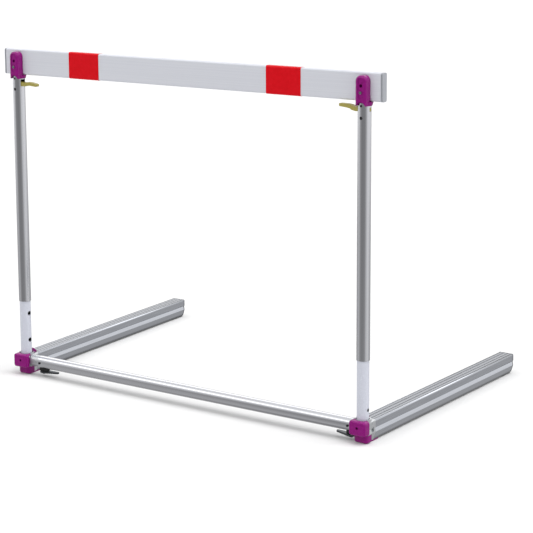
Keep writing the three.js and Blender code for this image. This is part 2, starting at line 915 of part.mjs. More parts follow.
function footProfile() {
  const outline = footOutline(true);
  outline.holes.push(footCavity(0));
  const half = weightSlotWidth / 2;
  const slotBottom = footBottom - overshoot;
  const slotTop = cavityBottom + overshoot;
  const slot = block(-half, half, weightSlotFront + half, weightSlotRear - half, slotBottom, slotTop);
  const ends = [weightSlotFront + half, weightSlotRear - half].map((place) =>
    round("z", half, slotBottom, slotTop, [0, place]),
  );
  const stops = [];
  for (let step = -stepsEachWay; step <= stepsEachWay; step++) {
    const place = weightPlace + step * heightStep;
    stops.push(round("z", weightStopRadius, slotBottom, slotTop, [0, place]));
  }
  return cut(extruded("y", outline, footFront, footRear), slot, ...ends, ...stops);
}

function counterweight() {
  const body = extruded(
    "y",
    footCavity(weightClearance),
    weightPlace - weightLength / 2,
    weightPlace + weightLength / 2,
  );
  const bottom = cavityBottom + weightClearance;
  const bore = round("z", studShankRadius + gap, bottom - overshoot, bottom + studShankLength + gap, [
    0,
    weightPlace,
  ]);
  return cut(body, bore);
}

function weightStud() {
  const bottom = cavityBottom + weightClearance;
  const head = round("z", studRadius, studGroundGap, bottom - gap, [0, weightPlace]);
  const shank = round("z", studShankRadius, footBottom, bottom + studShankLength, [0, weightPlace]);
  return join(head, shank);
}

function cornerCasting() {
  const outside = footHalf + overshoot;
  const coreTop = skirtTop + gap;
  const coreRear = skirtRear + gap;
  const shell = cut(
    extruded("y", footOutline(false), -castingNose, castingRear),
    block(-outside, outside, -castingNose - overshoot, coreRear, 0, coreTop),
    block(-outside, outside, -castingNose - overshoot, -coreNose, 0, skirtTop + capFloor + gap),
  );
  const core = block(-coreHalf, coreHalf, -coreNose, coreRear + gap, footBottom, coreTop + gap);
  const insert = extruded("y", footCavity(gap), castingRear - overshoot, castingInsertRear);
  const boss = round("x", bossRadius, -bossFace, -bossRoot, [0, crossTubeHeight]);
  const spigot = round("x", spigotRadius, -spigotReach, -bossRoot, [0, crossTubeHeight]);
  const arm = join(boss, spigot).rotateZ(toeOut);
  const socket = cut(
    round("z", socketRadius, socketFloor, footTop + overshoot),
    round("z", postRadius, socketFloor - overshoot, footTop + 2 * overshoot),
  );
  const post = round("z", postRadius, footTop - overshoot, postTop);
  const rim = cut(
    round("z", rimRadius, footTop - rimRoot, footTop + rimHeight),
    round("z", scallopRadius, footTop - rimRoot - overshoot, footTop + rimHeight + overshoot),
    block(-outside, outside, -rimRadius - overshoot, gap - capRear, 0, capTop + rimHeight),
    block(wedgeInnerSide - gap, wedgeOuterSide + gap, 0, rimRadius + overshoot, footTop, capTop + rimHeight),
  );
  const rivetBore = round(
    "x",
    uprightRivetRadius + gap,
    uprightRivetFace - uprightRivetBite,
    postRadius + overshoot,
    [0, uprightRivetHeight],
  );
  const rivetSink = round(
    "x",
    uprightRivetHeadRadius + boreGap,
    uprightRivetFace,
    postRadius + overshoot,
    [0, uprightRivetHeight],
  );
  const capScrewBore = round(
    "y",
    capScrewRadius + gap,
    -castingNose - overshoot,
    gap - capScrewTip,
    [0, capScrewHeight],
  );
  const sideAxis = [sideScrewPlace, sideScrewHeight];
  const headSeat = sideScrewFace - sideScrewHeadHeight - gap;
  const sideBore = round("x", sideScrewRadius + gap, sideScrewTip - gap, outside, sideAxis);
  const sideSink = round("x", sideScrewHeadRadius + boreGap, headSeat, outside, sideAxis);
  const pegBore = round("z", wedgePegRadius + gap, footTop - wedgePegDepth - gap, footTop + overshoot, [
    -wedgeInboard,
    wedgePegPlace,
  ]);
  const whole = cut(join(shell, core, insert, arm, rim), socket);
  return cut(join(whole, post), rivetBore, rivetSink, capScrewBore, sideBore, sideSink, pegBore);
}

// Bores in the casting's arm, which stands square to the upright while the casting follows the foot.
function armBores(clampPlace) {
  const screw = round(
    "y",
    tubeScrewRadius + gap,
    -spigotRadius - overshoot,
    gap - tubeScrewTip,
    [clampPlace, crossTubeHeight],
  );
  const bolt = round(
    "z",
    clampBoltRadius + gap,
    crossTubeHeight - spigotRadius - overshoot,
    clampBoltTop + gap,
    [clampPlace, clampBoltPlace],
  );
  return [screw.rotateZ(toeOut), bolt.rotateZ(toeOut)];
}

function frontCap() {
  const nose = castingNose + gap;
  const cavityHalfWidth = footHalf + gap;
  const headOutline = roundedRectangle(-capHalf, capHalf, skirtTop, capTop, capCorner);
  const head = common(
    extruded("y", headOutline, -capFront, capFront, capFrontRadius),
    block(-capHalf, capHalf, -capFront, -capRear, skirtTop, capTop),
  );
  const room = block(
    -cavityHalfWidth,
    cavityHalfWidth,
    -nose,
    overshoot,
    skirtTop + capFloor,
    footTop + gap,
  );
  const underRoom = block(
    -cavityHalfWidth,
    cavityHalfWidth,
    -coreNose - gap,
    overshoot,
    skirtTop - overshoot,
    skirtTop + capFloor + overshoot,
  );
  const innerRoom = block(
    -capHalf - overshoot,
    -cavityHalfWidth,
    -capInnerRear,
    overshoot,
    skirtTop - overshoot,
    capTop + overshoot,
  );
  const scallop = round("z", scallopRadius, footTop, capTop + overshoot);
  const bossRoom = round("x", bossRadius + gap, -bossFace, -footHalf, [0, crossTubeHeight]);
  const skirtPlan = new THREE.Shape();
  const cornerReach = skirtHalf - skirtCorner;
  const cornerPlace = skirtCorner - skirtFront;
  skirtPlan.moveTo(skirtHalf, skirtRear + skirtToeRadius);
  skirtPlan.lineTo(-skirtHalf, skirtRear + skirtToeRadius);
  skirtPlan.absarc(-cornerReach, cornerPlace, skirtCorner, Math.PI, (3 * Math.PI) / 2);
  skirtPlan.absarc(cornerReach, cornerPlace, skirtCorner, -Math.PI / 2, 0);
  skirtPlan.closePath();
  const skirt = common(
    extruded("z", skirtPlan, 0, skirtTop + skirtToeRadius, skirtToeRadius),
    block(-skirtHalf, skirtHalf, -skirtFront, skirtRear, 0, skirtTop),
  );
  const neck = block(
    -skirtHalf / 2,
    skirtHalf / 2,
    -skirtFront,
    -coreNose - gap,
    skirtTop / 2,
    skirtTop + capFloor,
  );
  const skirtRoom = block(
    -coreHalf - gap,
    coreHalf + gap,
    -coreNose - gap,
    skirtRear + overshoot,
    soleThickness,
    skirtTop + overshoot,
  );
  const sole = block(-soleHalf, soleHalf, 0, soleRear, 0, soleThickness);
  const screwSink = round(
    "y",
    capScrewHeadRadius + gap,
    -capFront - overshoot,
    capScrewSunk + capScrewHeadHeight + gap - capFront,
    [0, capScrewHeight],
  );
  const screwBore = round("y", capScrewRadius + gap, -capFront, 0, [0, capScrewHeight]);
  const rooms = [room, underRoom, innerRoom, scallop, bossRoom.rotateZ(toeOut)];
  const hollowHead = cut(head, ...rooms, screwSink, screwBore);
  const hollowSkirt = cut(skirt, skirtRoom);
  return join(hollowHead, hollowSkirt, neck, sole);
}

function frontCapScrew() {
  return frontScrew(
    capScrewHeadRadius,
    capScrewHeadHeight,
    capScrewRadius,
    capScrewSunk - capFront,
    -capScrewTip,
    capScrewHeight,
  );
}

function uprightWedge() {
  const bottom = footTop + gap;
  const outline = polygon([
    [wedgeFront - overshoot, bottom],
    [wedgeRear, bottom],
    [wedgeRear, bottom + wedgeToe],
    [wedgeFront + wedgeCrest, bottom + wedgeHeight],
    [wedgeFront - overshoot, bottom + wedgeHeight],
  ]);
  const body = extruded("x", outline, wedgeInnerSide, wedgeOuterSide);
  const peg = round("z", wedgePegRadius, footTop - wedgePegDepth, bottom + wedgeToe, [
    -wedgeInboard,
    wedgePegPlace,
  ]);
  const tubeRoom = round("z", wedgeFront, bottom - overshoot, bottom + wedgeHeight + overshoot);
  return join(cut(body, tubeRoom), peg);
}

function sideScrew() {
  const place = [sideScrewPlace, sideScrewHeight];
  const headBack = sideScrewFace - sideScrewHeadHeight;
  const head = round("x", sideScrewHeadRadius, headBack, sideScrewFace, place);
  const shank = round("x", sideScrewRadius, sideScrewTip, headBack + sideScrewHeadHeight / 2, place);
  const socket = round(
    "x",
    2 * screwSocketRadius,
    sideScrewFace - screwSocketDepth,
    sideScrewFace + overshoot,
    place,
    hexSides,
  );
  return cut(join(head, shank), socket);
}

function rearPlug() {
  const plate = extruded("y", footOutline(false), rearPlateFront, rearPlateEnd);
  const insert = extruded("y", footCavity(gap), rearPlateFront - rearInsert, rearPlateFront + rearPlate / 2);
  const runner = extruded(
    "x",
    polygon([
      [runnerFront + runnerRamp, 0],
      [rearPlateEnd, 0],
      [rearPlateEnd, footBottom + rearPlate],
      [rearPlateFront, footBottom + rearPlate],
      [rearPlateFront, soleThickness],
      [runnerFront, soleThickness],
      [runnerFront, soleThickness / 2],
    ]),
    -runnerHalf,
    runnerHalf,
  );
  return join(plate, insert, runner);
}

function crossTube() {
  const body = tube(
    "x",
    crossTubeRadius,
    crossTubeRadius - crossTubeWall,
    crossTubeShift - tubeEndReach,
    crossTubeShift + tubeEndReach,
    [0, crossTubeHeight],
  );
  const places = [crossTubeShift - clampReach, crossTubeShift + clampReach];
  const screwHoles = places.map((place) =>
    round("y", tubeScrewRadius + gap, -crossTubeRadius - overshoot, 0, [place, crossTubeHeight]),
  );
  const boltHoles = places.map((place) =>
    round(
      "z",
      clampBoltRadius + gap,
      crossTubeHeight - crossTubeRadius - overshoot,
      crossTubeHeight,
      [place, clampBoltPlace],
    ),
  );
  return cut(body, ...screwHoles, ...boltHoles);
}

function spacerCollar() {
  const left = bossFace - uprightReach + gap;
  const right = crossTubeShift - tubeEndReach - gap;
  const axis = [0, crossTubeHeight];
  const bore = crossTubeRadius - crossTubeWall;
  const sleeve = tube("x", crossTubeRadius - spacerStepDepth, bore, left, right, axis);
  const flange = tube("x", crossTubeRadius, bore, left, left + spacerStep, axis);
  return join(sleeve, flange);
}

function tubeScrew(clampPlace) {
  return frontScrew(
    tubeScrewHeadRadius,
    tubeScrewHeadHeight,
    tubeScrewRadius,
    -crossTubeRadius - gap - tubeScrewHeadHeight,
    -tubeScrewTip,
    crossTubeHeight,
    clampPlace,
  );
}

function clampBlock(clampPlace) {
  const half = clampBlockLength / 2;
  const body = block(
    clampPlace - half,
    clampPlace + half,
    -clampBlockFront,
    clampBlockRear,
    clampBlockBottom,
    clampBlockTop,
  );
  const bore = round("z", clampBoltRadius + gap, 0, crossTubeHeight, [clampPlace, clampBoltPlace]);
  return cut(body, bore);
}

function clampBolt(clampPlace) {
  const place = [clampPlace, clampBoltPlace];
  const headTop = clampLeverBottom - gap;
  const headBottom = headTop - clampBoltHeadHeight;
  const head = round("z", clampBoltHeadRadius, headBottom, headTop, place, hexSides);
  const shank = round("z", clampBoltRadius, headTop - clampBoltHeadHeight / 2, clampBoltTop, place);
  return join(head, shank);
}

// A flat lever whose two round ends are joined by straight sides that touch both circles.
function clampLever(clampPlace) {
  const distance = Math.hypot(clampLeverLength, clampLeverDrift);
  const heading = Math.atan2(clampLeverDrift, -clampLeverLength);
  const spread = Math.acos((clampHubRadius - clampTipRadius) / distance);
  const outline = new THREE.Shape();
  outline.absarc(0, 0, clampHubRadius, heading + spread, heading - spread + 2 * Math.PI);
  outline.absarc(-clampLeverLength, clampLeverDrift, clampTipRadius, heading - spread, heading + spread);
  outline.closePath();
  const plate = extruded("z", outline, clampLeverBottom, clampLeverTop);
  const bore = round("z", clampBoltRadius + slidingGap, 0, crossTubeHeight);
  return cut(plate, bore).translate(clampPlace, clampBoltPlace, 0);
}

// The two sides: the mirrored one is the left. The clamps follow the cross tube, which is shifted.
const sides = [
  { name: "left", mirror: -1, leverAngle: lockedAngle, tubeShift: -crossTubeShift },
  { name: "right", mirror: 1, leverAngle: squeezedAngle, tubeShift: crossTubeShift },
];

const hurdle = new THREE.Group();
const base = new THREE.Group();
const upperFrame = new THREE.Group();
hurdle.add(base, upperFrame);

// A group for one side with its origin on the upright's axis and X pointing outwards.
function sideGroup(parent, side) {
  const group = new THREE.Group();
  group.scale.x = side.mirror;
  group.position.x = side.mirror * uprightReach;
  parent.add(group);
  return group;
}

function addUpperSide(side) {
  const group = sideGroup(upperFrame, side);
  const rodLift = fulcrumHeight + crossPinRise(side.leverAngle) - lockedRodHeight;
  add(group, `bar_bracket_${side.name}`, barBracket(), "purple");
  add(group, `bracket_screw_${side.name}`, bracketScrew(), "zinc");
  add(group, `outer_tube_${side.name}`, outerTube(), "satinTube");
  add(group, `lever_housing_${side.name}`, leverHousing(), "black");
  add(group, `housing_rivet_${side.name}`, housingRivet(), "zinc");
  add(group, `lock_carrier_${side.name}`, lockCarrier(), "black");
  add(group, `return_spring_${side.name}`, returnSpring(rodLift), "springSteel");
  const lever = add(group, `release_lever_${side.name}`, releaseLever(), "mustard");
  lever.position.set(fulcrumReach, 0, fulcrumHeight);
  lever.rotation.y = side.leverAngle;
  add(group, `pull_rod_${side.name}`, pullRod(), "zinc").position.z = rodLift;
  add(group, `lock_pin_${side.name}`, lockPin(), "zinc").position.x = rodLift;
  const boardSide = new THREE.Group();
  boardSide.scale.x = side.mirror;
  upperFrame.add(boardSide);
  add(boardSide, `bar_end_cap_${side.name}`, barEndCap(), "capGrey");
  add(boardSide, `red_band_${side.name}`, redBand(), "bandRed");
}

function addBaseSide(side) {
  const group = sideGroup(base, side);
  const clampPlace = clampReach + side.tubeShift - uprightReach;
  add(group, `inner_tube_${side.name}`, innerTube(), "whiteTube");
  add(group, `tube_plug_${side.name}`, tubePlug(), "black");
  add(group, `tube_rivet_${side.name}`, tubeRivet(), "zinc");
  add(group, `tube_screw_${side.name}`, tubeScrew(clampPlace), "black");
  add(group, `clamp_block_${side.name}`, clampBlock(clampPlace), "black");
  add(group, `clamp_bolt_${side.name}`, clampBolt(clampPlace), "zinc");
  add(group, `clamp_lever_${side.name}`, clampLever(clampPlace), "zinc");
  const foot = new THREE.Group();
  foot.rotation.z = -toeOut;
  group.add(foot);
  add(foot, `corner_casting_${side.name}`, cut(cornerCasting(), ...armBores(clampPlace)), "castAluminium");
  add(foot, `front_cap_${side.name}`, frontCap(), "purple");
  add(foot, `front_cap_screw_${side.name}`, frontCapScrew(), "zinc");
  add(foot, `upright_wedge_${side.name}`, uprightWedge(), "purple");
  add(foot, `side_screw_${side.name}`, sideScrew(), "zinc");
  add(foot, `foot_profile_${side.name}`, footProfile(), "footAluminium");
  add(foot, `rear_plug_${side.name}`, rearPlug(), "darkPlastic");
  add(foot, `counterweight_${side.name}`, counterweight(), "castIron");
  add(foot, `weight_stud_${side.name}`, weightStud(), "zinc");
}

add(upperFrame, "top_bar", topBar(), "boardWhite");
add(base, "cross_tube", crossTube(), "satinTube");
add(base, "spacer_collar", spacerCollar(), "castAluminium");
for (const side of sides) {
  addUpperSide(side);
  addBaseSide(side);
}

// The hurdle stands with the middle of its outer box over the origin.
const bounds = new THREE.Box3().setFromObject(hurdle, true);
hurdle.position.y = -(bounds.min.y + bounds.max.y) / 2;

export default hurdle;
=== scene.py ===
import json
import math

import bmesh
import bpy
from mathutils import Matrix, Vector


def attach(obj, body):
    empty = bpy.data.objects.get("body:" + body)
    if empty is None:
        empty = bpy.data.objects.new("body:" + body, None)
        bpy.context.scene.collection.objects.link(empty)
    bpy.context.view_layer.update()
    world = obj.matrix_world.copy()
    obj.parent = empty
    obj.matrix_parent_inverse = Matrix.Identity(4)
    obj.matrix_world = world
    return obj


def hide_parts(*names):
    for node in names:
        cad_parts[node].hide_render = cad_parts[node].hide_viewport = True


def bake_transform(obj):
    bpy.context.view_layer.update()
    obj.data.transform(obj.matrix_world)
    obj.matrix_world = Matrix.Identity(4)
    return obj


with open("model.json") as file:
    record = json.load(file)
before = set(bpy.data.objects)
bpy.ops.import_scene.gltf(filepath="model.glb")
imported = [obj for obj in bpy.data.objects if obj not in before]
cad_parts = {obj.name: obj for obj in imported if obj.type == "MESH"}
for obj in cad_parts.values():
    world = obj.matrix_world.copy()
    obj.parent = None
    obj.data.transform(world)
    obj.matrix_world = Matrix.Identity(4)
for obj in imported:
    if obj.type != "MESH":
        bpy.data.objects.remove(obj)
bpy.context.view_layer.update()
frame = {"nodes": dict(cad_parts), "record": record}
scene = bpy.context.scene
scene.view_settings.view_transform = "Standard"

# Lengths are in metres. One given in millimetres is multiplied by this.
MM = 0.001
# The axes of the uprights stand this far from the middle along X, and at this place along Y.
UPRIGHT_REACH = 0.550
UPRIGHT_Y = -0.3579133
# How far each foot turns outward, seen from above.
TOE_OUT = math.radians(1.9)
FOOT_TURN = {"left": -TOE_OUT, "right": TOE_OUT}


# Camera

# Where the photograph was taken from and how the camera was turned, downward by its fall.
CAMERA_PLACE = (2.583226, -3.779468, 1.346786)
CAMERA_AZIMUTH = math.radians(34.0882)
CAMERA_FALL = math.radians(9.4978)
CAMERA_ROLL = math.radians(-0.2410)
# The photograph's side, its focal length and the row that its lens looked straight at, in pixels.
PHOTO_SIDE = 533
FOCAL_LENGTH = 1684.106
AXIS_ROW = 168.934
# The width of the camera's sensor in millimetres.
SENSOR_WIDTH = 36


def stand_camera():
    """Stands the camera where the photograph was taken from, in front on the right, higher than the bar."""
    ahead = Vector(
        (
            -math.sin(CAMERA_AZIMUTH) * math.cos(CAMERA_FALL),
            math.cos(CAMERA_AZIMUTH) * math.cos(CAMERA_FALL),
            -math.sin(CAMERA_FALL),
        )
    )
    level_right = Vector((math.cos(CAMERA_AZIMUTH), math.sin(CAMERA_AZIMUTH), 0))
    level_up = level_right.cross(ahead)
    right = level_right * math.cos(CAMERA_ROLL) + level_up * math.sin(CAMERA_ROLL)
    up = level_up * math.cos(CAMERA_ROLL) - level_right * math.sin(CAMERA_ROLL)
    data = bpy.data.cameras.new("camera")
    data.sensor_width = SENSOR_WIDTH
    data.lens = FOCAL_LENGTH / PHOTO_SIDE * SENSOR_WIDTH
    data.shift_y = (AXIS_ROW - PHOTO_SIDE / 2) / PHOTO_SIDE
    data.clip_start = 0.05
    data.clip_end = 100
    camera = bpy.data.objects.new("camera", data)
    scene.collection.objects.link(camera)
    turn = Matrix((right, up, -ahead)).transposed().to_4x4()
    camera.matrix_world = Matrix.Translation(CAMERA_PLACE) @ turn
    scene.camera = camera


stand_camera()


# Materials

# The noise of a pattern keeps mostly between these two values.
NOISE_SPAN = (0.3, 0.7)
# How often the lines of a drawn surface change in a metre of their own length.
LINE_CHANGES = 1.2
# Surfaces of the inner tubes nearer to the tube's axis than this get painted shade, near black.
SHADE_INSIDE_RADIUS = 14.9 * MM
# Painted shade near the floor darkens a foot to this tone under the first height, and not at all over the
# second.
FLOOR_SHADE_TONE = 0.35
FLOOR_SHADE_HEIGHTS = (4 * MM, 11 * MM)


def linear(code):
    """An sRGB hex colour as the linear colour that a shader socket takes."""
    shares = [int(code[place : place + 2], 16) / 255 for place in (0, 2, 4)]
    return [
        share / 12.92 if share <= 0.04045 else ((share + 0.055) / 1.055) ** 2.4
        for share in shares
    ] + [1]


def add_node(tree, kind, settings=None, links=None):
    """Adds a node, sets its fields and sockets, and links its inputs."""
    node = tree.nodes.new(kind)
    for name, value in (settings or {}).items():
        if isinstance(name, int) or name in node.inputs:
            node.inputs[name].default_value = value
        else:
            setattr(node, name, value)
    for name, source in (links or {}).items():
        tree.links.new(source, node.inputs[name])
    return node


def level_over(tree, source, span, levels=(0, 1)):
    """A level that goes evenly from its first to its last value while a source goes over a span."""
    return add_node(
        tree,
        "ShaderNodeMapRange",
        {"From Min": span[0], "From Max": span[1], "To Min": levels[0], "To Max": levels[1]},
        {"Value": source},
    ).outputs["Result"]


def surface(name, colour, metallic, roughness, settings=None):
    """A new material with its surface shader set to plain values."""
    material = bpy.data.materials.new(name)
    material.use_nodes = True
    shader = material.node_tree.nodes["Principled BSDF"]
    shader.inputs["Base Color"].default_value = linear(colour)
    shader.inputs["Metallic"].default_value = metallic
    shader.inputs["Roughness"].default_value = roughness
    for socket, value in (settings or {}).items():
        shader.inputs[socket].default_value = value
    return material


def texture_place(tree, scale, turn=0):
    """Object coordinates, turned about Z and scaled to the size of a pattern."""
    place = add_node(tree, "ShaderNodeTexCoord")
    return add_node(
        tree,
        "ShaderNodeMapping",
        {"Rotation": (0, 0, turn), "Scale": scale},
        {"Vector": place.outputs["Object"]},
    ).outputs["Vector"]


def shade_with(material, noise, colours, roughness, depth):
    """Lets one pattern vary the colour and roughness, and lift the surface by a depth in metres."""
    tree = material.node_tree
    shader = tree.nodes["Principled BSDF"]
    ramp = add_node(tree, "ShaderNodeValToRGB", {}, {"Fac": noise})
    for element, place, colour in zip(ramp.color_ramp.elements, NOISE_SPAN, colours):
        element.position = place
        element.color = linear(colour)
    tree.links.new(ramp.outputs["Color"], shader.inputs["Base Color"])
    tree.links.new(level_over(tree, noise, NOISE_SPAN, roughness), shader.inputs["Roughness"])
    bump = add_node(tree, "ShaderNodeBump", {"Strength": 1, "Distance": depth}, {"Height": noise})
    tree.links.new(bump.outputs["Normal"], shader.inputs["Normal"])
    return material


def lined(name, spacing, along, turn, colours, metallic, roughness, depth):
    """A surface with fine lines that run along one axis, from an extrusion die or a drawing die."""
    material = surface(name, colours[0], metallic, roughness[0])
    tree = material.node_tree
    scale = [1 / spacing] * 3
    scale["XYZ".index(along)] = LINE_CHANGES
    pattern = add_node(
        tree,
        "ShaderNodeTexNoise",
        {"Scale": 1, "Detail": 3, "Roughness": 0.55},
        {"Vector": texture_place(tree, scale, turn)},
    )
    return shade_with(material, pattern.outputs["Fac"], colours, roughness, depth)


def grained(name, grain, colours, metallic, roughness, depth, settings=None):
    """A surface with an even grain, from a mould, a casting or a coating."""
    material = surface(name, colours[0], metallic, roughness[0], settings)
    tree = material.node_tree
    pattern = add_node(
        tree,
        "ShaderNodeTexNoise",
        {"Scale": 1, "Detail": 2, "Roughness": 0.5},
        {"Vector": texture_place(tree, [1 / grain] * 3)},
    )
    return shade_with(material, pattern.outputs["Fac"], colours, roughness, depth)


def paint_shade_inside_tubes(material):
    """Paints the insides of both inner tubes near black as painted shade."""
    tree = material.node_tree
    shader = tree.nodes["Principled BSDF"]
    place = add_node(tree, "ShaderNodeTexCoord").outputs["Object"]
    folded = add_node(tree, "ShaderNodeVectorMath", {"operation": "ABSOLUTE"}, {0: place})
    from_axis = add_node(
        tree,
        "ShaderNodeVectorMath",
        {"operation": "SUBTRACT", 1: (UPRIGHT_REACH, -UPRIGHT_Y, 0)},
        {0: folded.outputs[0]},
    )
    flat = add_node(
        tree,
        "ShaderNodeVectorMath",
        {"operation": "MULTIPLY", 1: (1, 1, 0)},
        {0: from_axis.outputs[0]},
    )
    reach = add_node(tree, "ShaderNodeVectorMath", {"operation": "LENGTH"}, {0: flat.outputs[0]})
    inside = add_node(
        tree,
        "ShaderNodeMath",
        {"operation": "LESS_THAN", 1: SHADE_INSIDE_RADIUS},
        {0: reach.outputs["Value"]},
    )
    mixer = add_node(tree, "ShaderNodeMix", {"data_type": "RGBA"}, {0: inside.outputs[0]})
    tree.links.new(shader.inputs["Base Color"].links[0].from_socket, mixer.inputs[6])
    # Painted shade inside the tube, near black.
    mixer.inputs[7].default_value = linear("1c1b1b")
    tree.links.new(mixer.outputs[2], shader.inputs["Base Color"])


def paint_shade_near_floor(material):
    """Darkens a surface toward its lowest millimetres with painted shade, where it nears the floor."""
    tree = material.node_tree
    shader = tree.nodes["Principled BSDF"]
    unshaded_colour = shader.inputs["Base Color"].links[0].from_socket
    place = add_node(tree, "ShaderNodeTexCoord").outputs["Object"]
    height = add_node(tree, "ShaderNodeSeparateXYZ", {}, {0: place}).outputs["Z"]
    shade_level = level_over(tree, height, FLOOR_SHADE_HEIGHTS, (FLOOR_SHADE_TONE, 1))
    shaded_colour = add_node(tree, "ShaderNodeVectorMath", {"operation": "MULTIPLY"}, {0: unshaded_colour, 1: shade_level})
    tree.links.new(shaded_colour.outputs[0], shader.inputs["Base Color"])


# The second value of each surface is the size of its pattern. The waves of the film, the orange peel of
# the powder and the mottling of purple plastic and zinc have their real size. Die lines and the grains of
# moulds and castings are really 0.1 to 0.5 mm across, and are drawn coarser so that they show.

# Extruded PVC. Satin, with faint die lines along the board.
board_pvc = lined("extruded_white_pvc", 3 * MM, "X", 0, ("ced0d8", "d4d6dd"), 0, (0.38, 0.46), 0.02 * MM)
# Moulded polyamide end caps. Light grey with a fine spark grain.
grey_polyamide = grained(
    "moulded_grey_polyamide", 1.5 * MM, ("9fa2a9", "a9acb3"), 0, (0.35, 0.45), 0.03 * MM
)
# Adhesive film. Smooth saturated red with the slight waviness of stretched film.
red_film = grained(
    "red_adhesive_film",
    9 * MM,
    ("d00c18", "d8101e"),
    0,
    (0.12, 0.18),
    0.01 * MM,
    {"Specular IOR Level": 0.1},
)
# Injection moulded polypropylene. Deep purple, glossy, with a soft mottling from the flow of the melt.
purple_polypropylene = grained(
    "moulded_purple_polypropylene",
    5 * MM,
    ("80066b", "8e0e79"),
    0,
    (0.08, 0.12),
    0.006 * MM,
    {"Specular IOR Level": 0.3},
)
# Zinc plated steel. Bluish grey with a mottled sheen.
zinc_steel = grained("zinc_plated_steel", 2.5 * MM, ("9ba1a5", "b4b9bd"), 1, (0.28, 0.42), 0.02 * MM)
# Zinc plate, darkened as painted shade for small fasteners that sit in shade. Dark, with a soft sheen.
shade_darkened_zinc = grained("zinc_darkened_as_painted_shade", 2.5 * MM, ("2a2b2d", "3a3b3e"), 1, (0.3, 0.42), 0.02 * MM)
# Painted shade in narrow recesses, on the floors of screw sockets and in the fine grooves of the feet. Dark
# and dull.
recess_shade = grained("painted_recess_shade", 1.5 * MM, ("303133", "3e4042"), 0, (0.7, 0.8), 0.05 * MM)
# Steel of the clamp levers, darkened as painted shade. Dark grey and half dull.
shade_darkened_steel = grained("steel_darkened_as_painted_shade", 2 * MM, ("505356", "606366"), 1, (0.3, 0.42), 0.02 * MM)
# Anodised aluminium tubes. Satin, with drawn lines along each tube.
upright_aluminium = lined(
    "anodised_drawn_tube", 1.6 * MM, "Z", 0, ("cfd0d5", "d8d9de"), 1, (0.15, 0.2), 0.003 * MM
)
cross_aluminium = lined(
    "anodised_cross_tube", 1.6 * MM, "X", 0, ("cfd0d5", "d8d9de"), 1, (0.15, 0.2), 0.003 * MM
)
# Glass filled nylon. Near black with a fine grain.
black_nylon = grained("glass_filled_black_nylon", 1.2 * MM, ("141416", "1d1d20"), 0, (0.5, 0.6), 0.03 * MM)
# Drawn spring wire. Grey and smooth.
spring_wire = grained("drawn_spring_wire", 2 * MM, ("84888c", "94989c"), 1, (0.3, 0.38), 0.01 * MM)
# Moulded nylon levers. Mustard, semi-matt with a fine grain.
mustard_nylon = grained("moulded_mustard_nylon", 2 * MM, ("a09548", "aa9f50"), 0, (0.42, 0.5), 0.03 * MM)
# Powder coat over steel. Cool white with a soft orange peel, and painted shade inside the tube.
white_powder = grained("white_powder_coat", 3 * MM, ("cbceda", "d3d6e1"), 0, (0.22, 0.28), 0.02 * MM)
paint_shade_inside_tubes(white_powder)
# Die cast aluminium, tumbled. Bright with a fine skin grain.
cast_aluminium = grained("tumbled_die_casting", 3 * MM, ("c6c8cb", "d2d4d7"), 1, (0.34, 0.46), 0.03 * MM)
# Moulded polypropylene plug. Dark grey and matt.
dark_polypropylene = grained("moulded_dark_plug", 2 * MM, ("3c3e43", "46484d"), 0, (0.52, 0.62), 0.03 * MM)
# Sand cast iron, painted. Dark grey with a coarse skin.
cast_iron = grained("painted_cast_iron", 2.5 * MM, ("2f3032", "3b3c3e"), 0.2, (0.6, 0.72), 0.15 * MM)
# Anodised aluminium extrusions of the feet. Satin, with die lines along each foot, and painted shade low
# down.
foot_aluminium = {}
for side, turn in FOOT_TURN.items():
    foot_aluminium[side] = lined(
        "anodised_foot_extrusion", 2.2 * MM, "Y", turn, ("bcbfc6", "c6c9d0"), 1, (0.12, 0.17), 0.004 * MM
    )
    # Painted shade near the floor darkens the lowest millimetres of each foot.
    paint_shade_near_floor(foot_aluminium[side])


# Pieces

slot_of = {part["node"]: part["material_slot"] for part in frame["record"]["subparts"]}
body_of = {node: body for body, nodes in frame["record"]["behaviour"]["bodies"].items() for node in nodes}
# Points of a node nearer together than this are one, and faces that turn by less than this are one.
SAME_POINT = 2e-6
SAME_PLANE = math.radians(0.5)
# Edges where the surface turns by more than this are eased by this much.
EASED_ANGLE = math.radians(40)
EASE = 0.3 * MM
# Shading is smooth over an edge, unless the surface turns there by more than this.
CREASE_ANGLE = math.radians(35)
# A strip of a rounding is narrower than this.
WIDEST_STRIP = 2.6 * MM
# The groove round an end cap lies between these places from the middle along X. Its walls lean a little.
CAP_SEAM = (594.5 * MM, 597.0 * MM)
SEAM_DEPTH = 1.5 * MM
SEAM_LEAN = 0.15 * MM
# Each side of a release lever over this area is sunk inside a rim.
LEVER_SIDE_AREA = 150 * MM * MM
LEVER_RIM = 2.0 * MM
LEVER_RECESS = 0.7 * MM
# A screw's rim reaches this far in from its outermost plane.
RIM_DEPTH = 0.1 * MM
# The faces of a screw's socket lie deeper than this, with their middles within a reach of its axis.
SOCKET_DEPTH = 0.3 * MM
SIDE_SOCKET_REACH = 3.6 * MM
BRACKET_SOCKET_REACH = 1.9 * MM
# The fine grooves of a foot keep this far from its long sides, and lie between these depths under its top.
GROOVE_MARGIN = 4 * MM
GROOVE_DEPTHS = (0.02 * MM, 1.5 * MM)


def side_of(node):
    """The side that a node's name ends with."""
    return node.rsplit("_", 1)[-1]


def is_broad(face):
    """Whether a face is a flat of its own and not a strip of a rounding."""
    return 2 * face.calc_area() > WIDEST_STRIP * face.calc_perimeter()


def is_crease(edge):
    """Whether the surface really turns at an edge, so that it isn't smoothed over."""
    return not edge.is_manifold or edge.calc_face_angle(0) > CREASE_ANGLE


